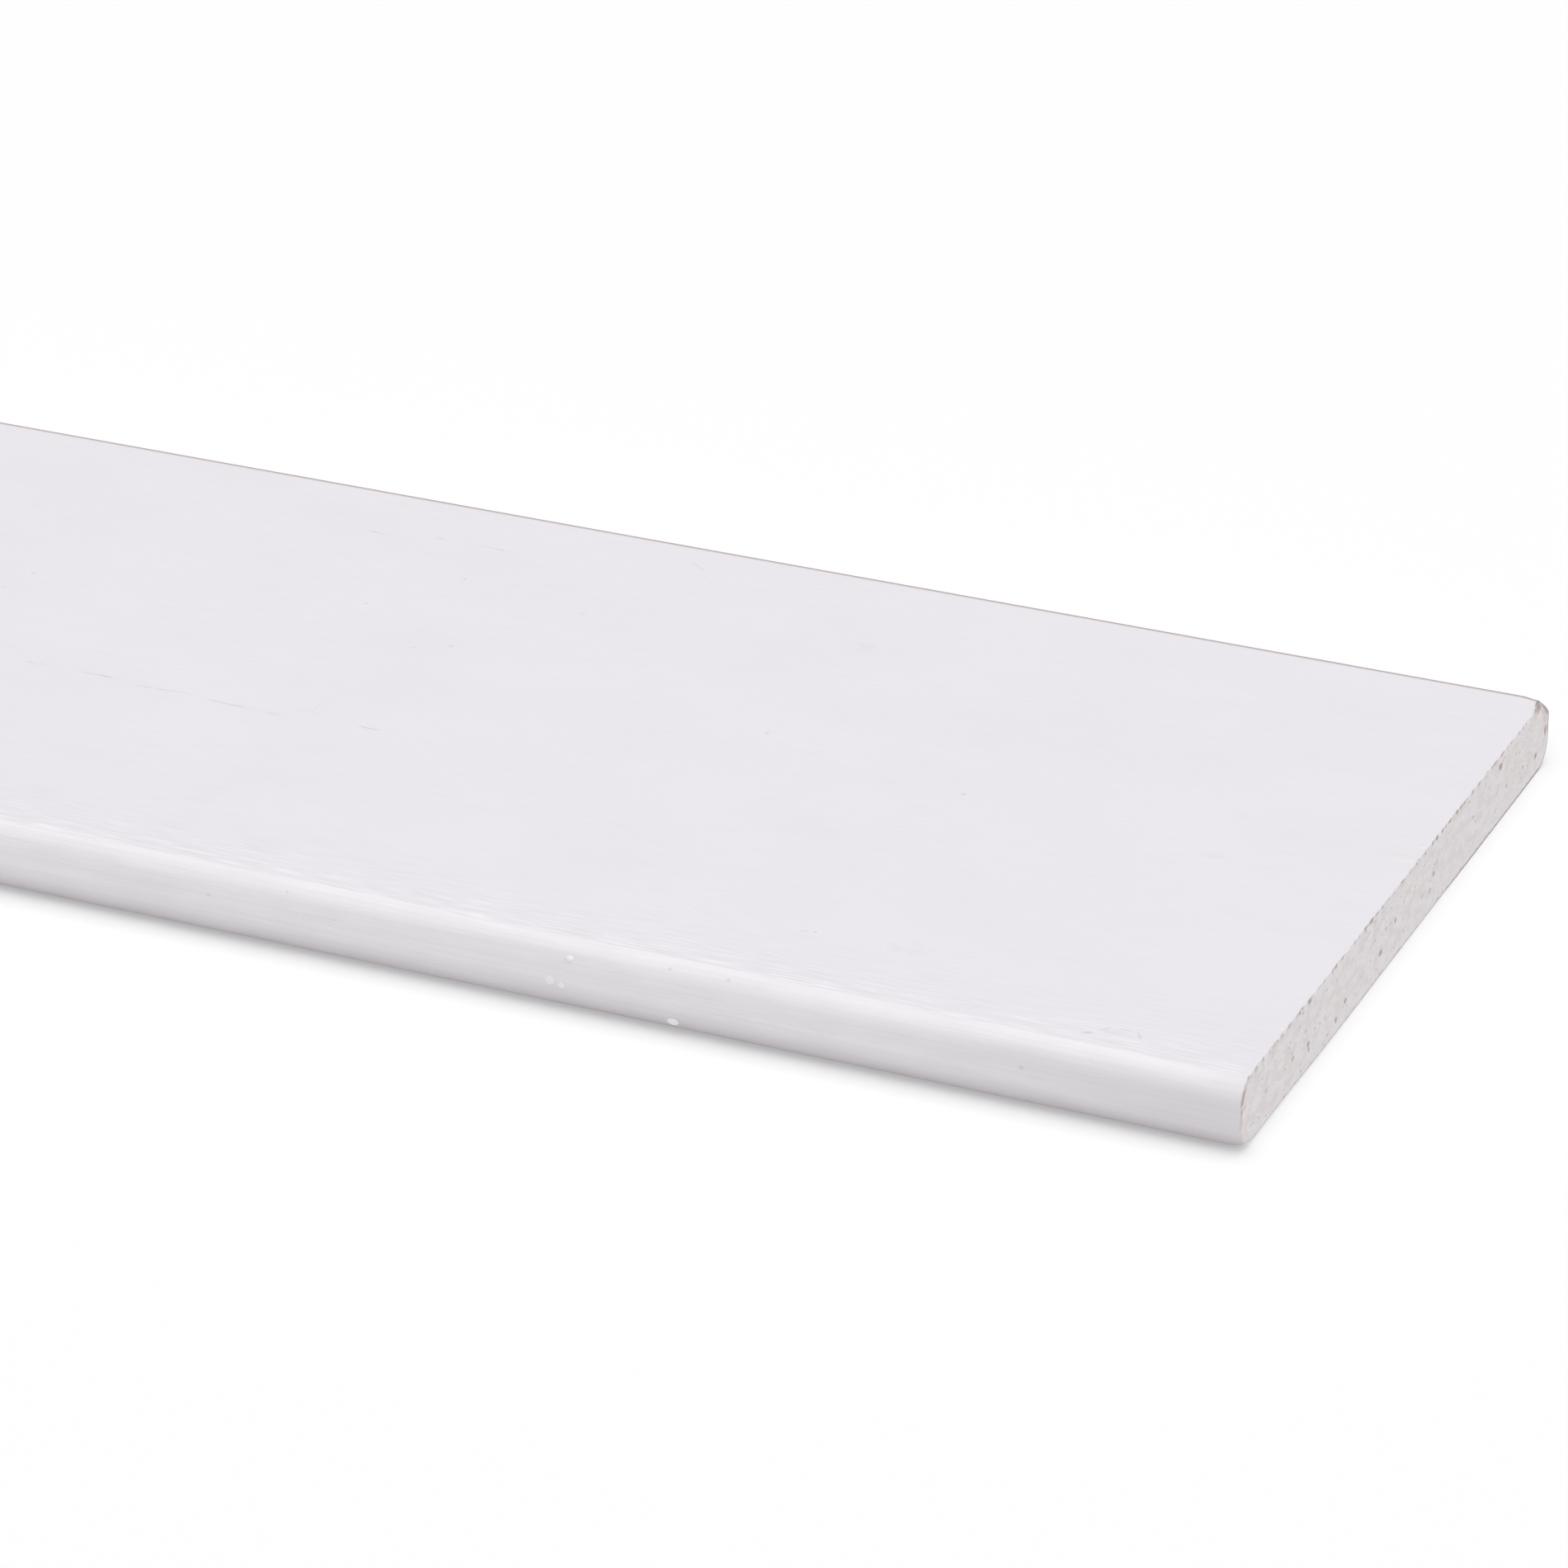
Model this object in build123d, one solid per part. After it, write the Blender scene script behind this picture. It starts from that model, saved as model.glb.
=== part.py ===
from build123d import *

import math
import os

# A planed batten: one length of primed hardwood stock, flat in section, with its four long
# edges rounded by the moulder's cutters and both ends sawn square. It lies on its back.
# The origin is the middle of the back, +X runs along the grain towards the shown end,
# +Y across the width and +Z out of the planed face. Millimetres and degrees.

# The stock, as it is sold
LENGTH = 2400.0
WIDTH = 70.0
THICKNESS = 6.0

# The rounding of the two long edges at the face. The face is planed a little below the level
# where the rounding would run out into it, so the two meet in a faint line along the batten.
FACE_EDGE_RADIUS = 2.2
FACE_LINE_TURN = 18.0

# The rounding of the two long edges at the back, which runs out smoothly
BACK_EDGE_RADIUS = 2.2

SQUARE_TURN = 90.0


def half_outline():
    """The right half of the section, from the middle of the back round to the middle of the face."""
    half_width = WIDTH / 2
    side_top = THICKNESS - FACE_EDGE_RADIUS * math.cos(math.radians(FACE_LINE_TURN))

    back = Line((0, 0), (half_width - BACK_EDGE_RADIUS, 0))
    back_rounding = JernArc(back @ 1, back % 1, BACK_EDGE_RADIUS, SQUARE_TURN)
    side = Line(back_rounding @ 1, (half_width, side_top))
    face_rounding = JernArc(side @ 1, side % 1, FACE_EDGE_RADIUS, SQUARE_TURN - FACE_LINE_TURN)
    face = Line(face_rounding @ 1, (0, THICKNESS))
    return Curve() + [back, back_rounding, side, face_rounding, face]


def section():
    """The whole section across the grain: two mirrored halves, closed and filled."""
    half = half_outline()
    return make_face(half + mirror(half, about=Plane.YZ))


def batten():
    """The section run through the moulder along X, and cut off square at both ends."""
    return extrude(Plane.YZ * section(), amount=LENGTH / 2, both=True)


if __name__ == "__main__":
    os.makedirs("parts", exist_ok=True)
    part = batten()
    part.label = "batten"
    export_step(part, "parts/batten.step")
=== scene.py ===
# A planed batten, dressed: white primer over open-pored hardwood, thicker and glossier on the
# moulded long edges, and thin on the sawn ends, where the pores stay open. Metres, in the part's
# own frame: +X along the grain to the shown end, +Y across, +Z out of the planed face.

import math
import random
from collections import namedtuple

import bmesh
import bpy
from bpy.props import FloatProperty, FloatVectorProperty, IntProperty, PointerProperty
from bpy.types import Operator, Panel, PropertyGroup
from mathutils import Matrix, Vector, noise
from mathutils.kdtree import KDTree


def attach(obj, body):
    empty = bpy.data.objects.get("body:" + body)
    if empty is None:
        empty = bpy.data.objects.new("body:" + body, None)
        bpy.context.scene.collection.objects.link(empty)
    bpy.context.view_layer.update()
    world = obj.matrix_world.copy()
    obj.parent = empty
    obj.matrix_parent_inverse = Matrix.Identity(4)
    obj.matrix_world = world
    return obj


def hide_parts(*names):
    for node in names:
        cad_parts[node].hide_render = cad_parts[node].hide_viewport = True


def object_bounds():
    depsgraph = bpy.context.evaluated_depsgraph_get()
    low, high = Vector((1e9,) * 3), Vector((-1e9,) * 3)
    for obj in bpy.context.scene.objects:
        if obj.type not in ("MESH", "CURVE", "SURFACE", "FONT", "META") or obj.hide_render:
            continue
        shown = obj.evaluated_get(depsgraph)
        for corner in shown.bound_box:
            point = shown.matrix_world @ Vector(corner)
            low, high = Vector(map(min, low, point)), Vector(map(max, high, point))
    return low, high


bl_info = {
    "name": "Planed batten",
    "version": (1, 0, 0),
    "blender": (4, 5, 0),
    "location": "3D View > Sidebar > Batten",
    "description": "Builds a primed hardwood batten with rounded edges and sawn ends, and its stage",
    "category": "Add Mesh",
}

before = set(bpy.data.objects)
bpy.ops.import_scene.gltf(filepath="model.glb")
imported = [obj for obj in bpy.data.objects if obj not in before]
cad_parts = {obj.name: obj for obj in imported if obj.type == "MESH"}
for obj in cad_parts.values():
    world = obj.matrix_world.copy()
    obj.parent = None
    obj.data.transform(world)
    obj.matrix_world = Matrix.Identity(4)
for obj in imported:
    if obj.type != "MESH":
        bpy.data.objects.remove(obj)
CAD_LOW, CAD_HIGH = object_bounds()

MM = 0.001
LENGTH = CAD_HIGH.x - CAD_LOW.x
HALF_WIDTH = CAD_HIGH.y
THICKNESS = CAD_HIGH.z
SHOWN_END = CAD_HIGH.x
BODY = "root"
NODE = "batten"

# The four zones round the section, in the order in which a ring of points runs through them
BACK, NEAR_EDGE, FACE, FAR_EDGE = range(4)

# The batten's material slots
FACE_COAT, EDGE_COAT, BACK_COAT, END_GRAIN = range(4)
COAT_OF_ZONE = {BACK: BACK_COAT, NEAR_EDGE: EDGE_COAT, FACE: FACE_COAT, FAR_EDGE: EDGE_COAT}

Station = namedtuple("Station", "across up out_across out_up zone share")
Pore = namedtuple("Pore", "across up wide high strength")
Cells = namedtuple("Cells", "back near face far even")


def linear(hex_colour):
    """A colour written as sRGB hex, as linear red, green and blue."""
    values = [int(hex_colour[i : i + 2], 16) / 255 for i in (1, 3, 5)]
    return [v / 12.92 if v <= 0.04045 else ((v + 0.055) / 1.055) ** 2.4 for v in values]


def number_setting(name, description, default):
    """A plain number that the sidebar shows."""
    return FloatProperty(name=name, description=description, default=default)


def size_setting(name, description, default):
    """A length that the sidebar shows."""
    return FloatProperty(name=name, description=description, default=default, unit="LENGTH")


def angle_setting(name, description, degrees):
    """An angle that the sidebar shows."""
    default = math.radians(degrees)
    return FloatProperty(name=name, description=description, default=default, subtype="ANGLE")


def colour_setting(name, description, hex_colour):
    """A colour that the sidebar shows."""
    default = linear(hex_colour)
    return FloatVectorProperty(name=name, description=description, default=default, subtype="COLOR")


class BattenShape(PropertyGroup):
    """Sizes of the batten's edges and of the relief in its coat."""

    edge_radius: size_setting("Edge radius", "Rounding of the four long edges", 2.2 * MM)
    line_turn: angle_setting(
        "Face line", "Angle at which the rounding of an edge meets the planed face", 18
    )
    shown_stretch: size_setting(
        "Shown stretch", "Length behind the shown end that has the finest relief", 150 * MM
    )
    grain_height: size_setting(
        "Grain height", "How far the planed grain stands up under the primer", 0.03 * MM
    )
    coat_lumps: size_setting(
        "Coat lumps", "How uneven the thicker primer on the long edges is", 0.045 * MM
    )
    pore_radius: size_setting(
        "Pore radius", "Largest radius of the open pores on the sawn ends", 0.19 * MM
    )
    pore_rows: IntProperty(
        name="Pore rows",
        description="How many short rows of open pores each sawn end shows",
        default=230,
        min=0,
    )
    pore_depth: size_setting("Pore depth", "How far the open pores and torn places go in", 0.1 * MM)
    saw_fuzz: size_setting("Saw fuzz", "Roughness that the saw left on the ends", 0.012 * MM)
    line_hollow: size_setting(
        "Line hollow", "Depth of the hollow beside the line where the face meets the near edge", 0.08 * MM
    )
    knocked_corner: size_setting(
        "Knocked corner", "How far the lower near corner of the shown end is knocked in", 0.5 * MM
    )
    worn_corner: size_setting(
        "Worn corner", "How far the top far corner of the shown end is worn back along the grain", 0.57 * MM
    )
    arris_lips: IntProperty(
        name="Arris lips",
        description="How many small lips of primer hang over the arris of the shown end",
        default=34,
        min=0,
    )


class BattenFinish(PropertyGroup):
    """Colours of the primer and of the wood that shows through it."""

    primer: colour_setting("Primer", "White primer, sprayed on the planed wood", "#EAE8ED")
    primer_crest: colour_setting(
        "Primer crests", "Primer that has gathered in fine white streaks beside the near edge", "#F3F2F6"
    )
    primer_thin: colour_setting("Thin primer", "Primer where the grain has drunk it in", "#DEDADD")
    edge_primer: colour_setting("Edge primer", "Fuller primer on the moulded edges", "#EDEAEE")
    lump: colour_setting("Primer lumps", "Lumps of primer that dried thick", "#ECEBED")
    # Mostly the colour of painted shade, round the back arrises and on the near side towards the shown end;
    # also rubbed primer in patches at the shown end's arris
    rubbed_and_shade: colour_setting(
        "Rubbed edge", "Primer rubbed thin and grey round the back arrises and by hands", "#8F868E"
    )
    end_grain: colour_setting("End grain", "Sawn end grain under a mist of primer", "#EBE7E9")
    end_grain_bare: colour_setting(
        "Bare end grain", "Sawn end grain where little primer took", "#DCD3D2"
    )
    mark: colour_setting("Marks", "Hairlines and pinholes in the primer", "#B5A9A6")
    # Also the colour of the painted lines of shade along the far line and along the end's lower and far
    # arrises
    pore: colour_setting("Pore", "Bare hardwood inside pores and torn places", "#AD9E99")


class BattenStage(PropertyGroup):
    """The floor, the light and the camera."""

    floor: colour_setting("Floor", "Plain pale floor, a frosted table top", "#D5D5D5")
    floor_glow: number_setting(
        "Floor glow", "Brightness of the soft light under the table top, which keeps shadows faint", 0.3
    )
    room_light: number_setting("Room light", "Brightness of the light that comes from all round", 0.07)
    overhead_light: number_setting(
        "Overhead light", "Brightness of the wide soft light straight above", 2.32
    )
    overhead_focus: number_setting(
        "Overhead focus", "How quickly the overhead light falls off towards the sides", 5.0
    )
    key_light: number_setting("Key light", "Strength of the soft light from the front", 0.75)
    key_azimuth: angle_setting(
        "Key azimuth", "How far the key light stands round from the front towards the shown end", 15
    )
    side_light: number_setting("Side light", "Strength of the soft light beside the shown end", 0.65)
    side_azimuth: angle_setting(
        "Side azimuth", "How far the side light stands round from the front", 90
    )
    softness: angle_setting("Softness", "How wide both lights are, seen from the batten", 64)
    lamp_elevation: angle_setting("Lamp elevation", "How high both lights stand", 44)
    camera_azimuth: angle_setting(
        "Camera azimuth", "How far the camera stands round from the front towards the shown end", 24.66
    )
    camera_elevation: angle_setting("Camera elevation", "How far the camera looks down", 26.56)
    camera_roll: angle_setting("Camera roll", "How far the camera leans", 0.605)
    camera_lens: number_setting("Camera lens", "Focal length, in millimetres on a 36 mm sensor", 142.75)


# How many cells go round the section in each zone. Those of the face are even only at the sawn
# ends: elsewhere they gather towards its two edges, where the primer is roughest
SHOWN_CELLS = Cells(560, 58, 560, 58, even=True)
CLOSE_CELLS = Cells(20, 36, 100, 16, even=False)
WIDE_CELLS = Cells(12, 12, 36, 12, even=False)
OTHER_CELLS = Cells(140, 16, 140, 16, even=True)


def edge_point(shape, share):
    """A point of a long edge, from the back (share 0) to the face line (share 1).

    Gives its distance in from the side, its height, and its normal outward and upward.
    """
    radius = shape.edge_radius
    side_top = THICKNESS - radius * math.cos(shape.line_turn)
    back_arc = radius * math.pi / 2
    side = side_top - radius
    face_arc = radius * (math.pi / 2 - shape.line_turn)
    run = share * (back_arc + side + face_arc)
    if run < back_arc:
        turn = run / radius
        out, fall = math.sin(turn), math.cos(turn)
        return radius * (1 - out), radius * (1 - fall), out, -fall
    if run < back_arc + side:
        return 0.0, radius + run - back_arc, 1.0, 0.0
    turn = (run - back_arc - side) / radius
    out, rise = math.cos(turn), math.sin(turn)
    return radius * (1 - out), side_top + radius * rise, out, rise


def section_stations(shape, cells):
    """A ring of stations round the section: back, near edge upward, face, far edge downward."""
    back_inset = shape.edge_radius
    face_inset = shape.edge_radius * (1 - math.sin(shape.line_turn))
    stations = []
    for i in range(cells.back):
        share = i / cells.back
        across = (HALF_WIDTH - back_inset) * (1 - 2 * share)
        stations.append(Station(across, 0.0, 0.0, -1.0, BACK, share))
    for i in range(cells.near):
        inset, up, out, rise = edge_point(shape, i / cells.near)
        stations.append(Station(inset - HALF_WIDTH, up, -out, rise, NEAR_EDGE, i / cells.near))
    for i in range(cells.face):
        share = i / cells.face if cells.even else (1 - math.cos(math.pi * i / cells.face)) / 2
        across = (HALF_WIDTH - face_inset) * (2 * share - 1)
        stations.append(Station(across, THICKNESS, 0.0, 1.0, FACE, share))
    for i in range(cells.far):
        inset, up, out, rise = edge_point(shape, 1 - i / cells.far)
        stations.append(Station(HALF_WIDTH - inset, up, out, rise, FAR_EDGE, i / cells.far))
    return stations


def inside(shape, across, up):
    """How far a point of the section lies inside its outline."""
    radius = shape.edge_radius
    side_top = THICKNESS - radius * math.cos(shape.line_turn)
    from_side = HALF_WIDTH - abs(across)
    depth = min(from_side, up, THICKNESS - up)
    if from_side < radius and up < radius:
        depth = min(depth, radius - math.hypot(radius - from_side, radius - up))
    if from_side < radius and up > side_top:
        depth = min(depth, radius - math.hypot(radius - from_side, up - side_top))
    return depth


def wave(*sizes_and_places):
    """Smooth seedless noise from -1 to 1, over pairs of a place and the size of one wave there."""
    places = [place / size for place, size in sizes_and_places]
    return noise.noise(Vector(places + [0.5] * (3 - len(places))))


def fade(value, start, stop):
    """Falls smoothly from 1 at the start to 0 at the stop."""
    share = max(0.0, min(1.0, (value - start) / (stop - start)))
    return 1 - share * share * (3 - 2 * share)


# Dents (and two rises) in the coat of the near edge, in millimetres: from the end, share of the
# edge, radius, depth
EDGE_DENTS = (
    (97.7, 0.68, 0.9, 0.12),
    (92.9, 0.75, 1.0, 0.16),
    (90.6, 0.72, 0.9, -0.07),
    (16.0, 0.63, 0.5, 0.08),
    (1.6, 0.60, 1.1, -0.07),
    (72.9, 0.66, 0.3, 0.05),
    (67.9, 0.61, 0.3, 0.05),
)
# How far it is round a long edge, and how far inside the plain rounding its middle stays
EDGE_RUN = 7.9 * MM
EDGE_ALLOWANCE = 0.1 * MM
# How far the worn corner drops, as a share of how far it is worn back
WORN_DROP = 0.25
# How strong the relief is beyond the shown stretch, where the cells are too wide for all of it
FAR_RELIEF = 0.5
# How far the sawn wood lies behind the rim of primer round it, and the seeds of the two ends' pores
END_STEP = 0.03 * MM
SHOWN_END_SEED, OTHER_END_SEED = 7, 11


def knock(shape, from_end, run):
    """How far the lower arris of the shown end is knocked in, by the run up the near edge, which is
    negative under the batten: most at the near corner, and less and less along the back."""
    at_corner = 0.3 * fade(abs(run - 0.6 * MM), 0.0, 1.2 * MM)
    under_corner = 0.5 * fade(-run, 3 * MM, 20 * MM)
    along_back = 0.2 * fade(-run, 40 * MM, 48 * MM)
    up_the_edge = fade(run, 0.8 * MM, 3.2 * MM)
    along_grain = fade(from_end, -0.1 * MM, 0.75 * MM)
    share = at_corner + (under_corner + along_back)
    return shape.knocked_corner * share * up_the_edge * along_grain


def worn_back(shape, from_end, across, up):
    """How far the top far corner of the shown end is worn back along the grain: fully along the far
    line, and less and less across the face, down the side and away from the end."""
    line_inset = 1.5 * MM
    across_face = fade(HALF_WIDTH - line_inset - across, 0.0, 3.2 * MM)
    down_side = fade(THICKNESS - up, 0.1 * MM, 1.85 * MM)
    return shape.worn_corner * (across_face * down_side) * fade(from_end, 0.0, 5 * MM)


def face_relief(shape, from_end, station):
    """How far the planed face lies below its highest level."""
    across = station.across
    grain = wave((from_end, 16 * MM), (across, 1.4 * MM))
    belt = wave((from_end, 45 * MM), (across + 1, 14 * MM))
    depth = shape.grain_height * (1 + 0.5 * grain + 0.5 * belt) / 2
    # Beside the flooded edge the face lies in a narrow hollow that comes and goes
    from_line = station.share * 2 * HALF_WIDTH
    hollow = max(0.0, 0.5 + wave((from_end, 11 * MM), (across, 1.0)))
    return depth + shape.line_hollow * hollow * math.exp(-from_line / (0.3 * MM))


def edge_relief(shape, from_end, station):
    """How far the coat of a long edge lies inside the plain rounding."""
    run = station.share * EDGE_RUN
    lines = wave((from_end, 30 * MM), (run, 0.7 * MM))
    lumps = wave((from_end, 4.5 * MM), (run + 1, 2.2 * MM))
    rise = math.sin(math.pi * station.share)
    depth = shape.coat_lumps * (1 + 0.7 * lumps + 0.3 * lines) / 2 + EDGE_ALLOWANCE * rise
    if station.zone == NEAR_EDGE:
        for end_mm, share, radius_mm, depth_mm in EDGE_DENTS:
            away = math.hypot(from_end - end_mm * MM, run - share * EDGE_RUN) / (radius_mm * MM)
            depth += depth_mm * MM * math.exp(-away * away * 2)
        depth += knock(shape, from_end, run)
    return max(0.0, depth)


def place(shape, from_end, station, strength):
    """The point of the batten at a station of its section, with its relief."""
    if station.zone in (NEAR_EDGE, FAR_EDGE):
        depth = edge_relief(shape, from_end, station) * strength
    elif station.zone == FACE:
        depth = face_relief(shape, from_end, station) * strength
    else:
        depth = knock(shape, from_end, shape.edge_radius - HALF_WIDTH - station.across)
    worn = worn_back(shape, from_end, station.across, station.up)
    depth += WORN_DROP * worn * fade(from_end, 0.0, 1.5 * MM)
    return Vector((
        SHOWN_END - from_end - worn,
        station.across - station.out_across * depth,
        station.up - station.out_up * depth,
    ))


def painted_shade(from_end, station):
    """Painted shade, from 0 to 1, which darkens the coat: round the two back arrises, where the batten
    shades its own underside, along the far line, where the far edge turns from the light, and on the
    side of the near edge, darker towards the shown end, where it also dims the edge's highlight."""
    if station.zone == NEAR_EDGE:
        # Painted shade under the near edge, darkest at the back arris
        shade_round_back = fade(station.share, 0.0, 0.6)
        # Painted shade on the side of the near edge below its highlight, stronger towards the shown end
        shade_towards_end = (0.03 + 0.17 * fade(from_end, 4 * MM, 32 * MM)) * fade(station.share, 0.62, 0.95)
        # Painted shade that dims the whole near edge, its highlight too, in the last few millimetres
        dimmed_highlight_at_end = 0.1 * fade(from_end, 1.5 * MM, 4.5 * MM)
        return max(shade_round_back, shade_towards_end, dimmed_highlight_at_end)
    if station.zone == FAR_EDGE:
        # Painted shade under the far edge, and a dark painted line along the far line
        shade_round_back = fade(1 - station.share, 0.0, 0.6)
        shade_along_line = fade(station.share, 0.05, 0.2)
        return max(shade_round_back, shade_along_line)
    if station.zone == FACE:
        # A dark painted line of shade along the far edge of the face
        return fade(1 - station.share, 0.001, 0.006)
    return 0.0


def row_places(shape):
    """Distances of the rings from the shown end: close behind it, and wide apart further on."""
    arris, behind_arris = 0.12 * MM, 0.45 * MM
    close, wide, growth = 0.9 * MM, 14 * MM, 1.12
    places, step = [arris, behind_arris], close
    while places[-1] + step < LENGTH - behind_arris:
        places.append(places[-1] + step)
        if places[-1] > shape.shown_stretch:
            step = min(step * growth, wide)
    return places + [LENGTH - arris]


# The pores and torn places that stand out on the shown end, in millimetres: across, up, width,
# height, darkness
END_PORES = (
    (23.0, 4.8, 0.36, 0.28, 1.0),
    (32.1, 1.6, 0.30, 0.25, 0.9),
    (28.8, 2.1, 0.20, 0.20, 0.8),
    (24.7, 2.3, 0.20, 0.22, 0.7),
    (16.5, 3.4, 0.25, 0.20, 0.6),
    (7.1, 2.9, 0.30, 0.20, 0.8),
    (7.8, 3.4, 0.50, 0.10, 0.5),
    (6.3, 1.8, 0.40, 0.30, 0.5),
    (-1.7, 3.1, 0.25, 0.22, 0.8),
    (-3.9, 3.5, 0.20, 0.25, 0.6),
    (-4.9, 1.9, 0.35, 0.25, 0.9),
    (-12.7, 1.7, 0.25, 0.22, 0.9),
    (-14.7, 1.1, 0.25, 0.25, 0.8),
    (-20.7, 2.1, 0.25, 0.25, 0.9),
    (-20.6, 1.6, 0.20, 0.20, 0.8),
    (-24.0, 2.6, 0.30, 0.25, 0.6),
    (-29.6, 2.8, 0.20, 0.18, 0.6),
    (34.4, 2.9, 0.35, 0.55, 0.7),
    (33.2, 5.4, 1.10, 0.50, 0.9),
    (34.1, 4.3, 0.62, 0.80, 0.4),
    (-20.6, 5.6, 0.28, 0.22, 0.8),
)

# Torn places wider than this are patchy, with patches of that size
PATCHY_FROM = 0.6 * MM
PATCH_SIZE = 0.35 * MM
# How far round a point its pores are looked for
PORE_REACH = 1.4 * MM


class OpenPores:
    """Open pores and torn places of one sawn end, found by the place of a point."""

    def __init__(self, shape, seed, known=()):
        draw = random.Random(seed)
        self.shape = shape
        self.pores = [Pore(*(size * MM for size in sizes), darkness) for *sizes, darkness in known]
        for _ in range(shape.pore_rows):
            self.add_row(draw)
        self.add_torn_places(draw, up=THICKNESS - 0.18 * MM, strength=1.0)
        self.add_torn_places(draw, up=0.15 * MM, strength=0.4)
        self.tree = KDTree(len(self.pores))
        for i, pore in enumerate(self.pores):
            self.tree.insert((pore.across, pore.up, 0), i)
        self.tree.balance()

    def add_row(self, draw):
        """One to three pores in a short row, as they lie along a ray of the wood."""
        across = draw.uniform(-HALF_WIDTH, HALF_WIDTH)
        from_arris = 0.3 * MM
        up = draw.uniform(from_arris, THICKNESS - from_arris)
        lean = math.radians(draw.gauss(60, 25))
        gap = self.shape.pore_radius * draw.uniform(1.8, 2.6)
        for i in range(draw.choice((1, 1, 1, 2, 2, 3))):
            radius = self.shape.pore_radius * draw.uniform(0.5, 1.0)
            run, rise = i * gap * math.cos(lean), i * gap * math.sin(lean)
            wide, high = radius * 1.3, radius * 0.75
            strength = draw.uniform(0.15, 0.6)
            self.pores.append(Pore(across + run, up + rise, wide, high, strength))

    def add_torn_places(self, draw, up, strength):
        """Torn places just under an arris, where the saw left the face or the back."""
        across = -HALF_WIDTH
        while across < HALF_WIDTH:
            across += draw.uniform(0.4, 1.8) * MM
            wide, high = draw.uniform(0.15, 0.5) * MM, draw.uniform(0.12, 0.3) * MM
            self.pores.append(Pore(across, up, wide, high, draw.uniform(0.35, 1.0) * strength))

    def depth(self, across, up):
        """How far into a pore or torn place a point lies, from 0 to 1."""
        deepest = 0.0
        for _, i, _ in self.tree.find_range((across, up, 0), PORE_REACH):
            pore = self.pores[i]
            away = math.hypot((across - pore.across) / pore.wide, (up - pore.up) / pore.high)
            strength = pore.strength * max(0.0, min(1.0, 1.5 - away))
            if pore.wide > PATCHY_FROM:
                strength *= max(0.0, 0.8 + 0.6 * wave((across, PATCH_SIZE), (up, PATCH_SIZE)))
            deepest = max(deepest, strength)
        return deepest


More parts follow.
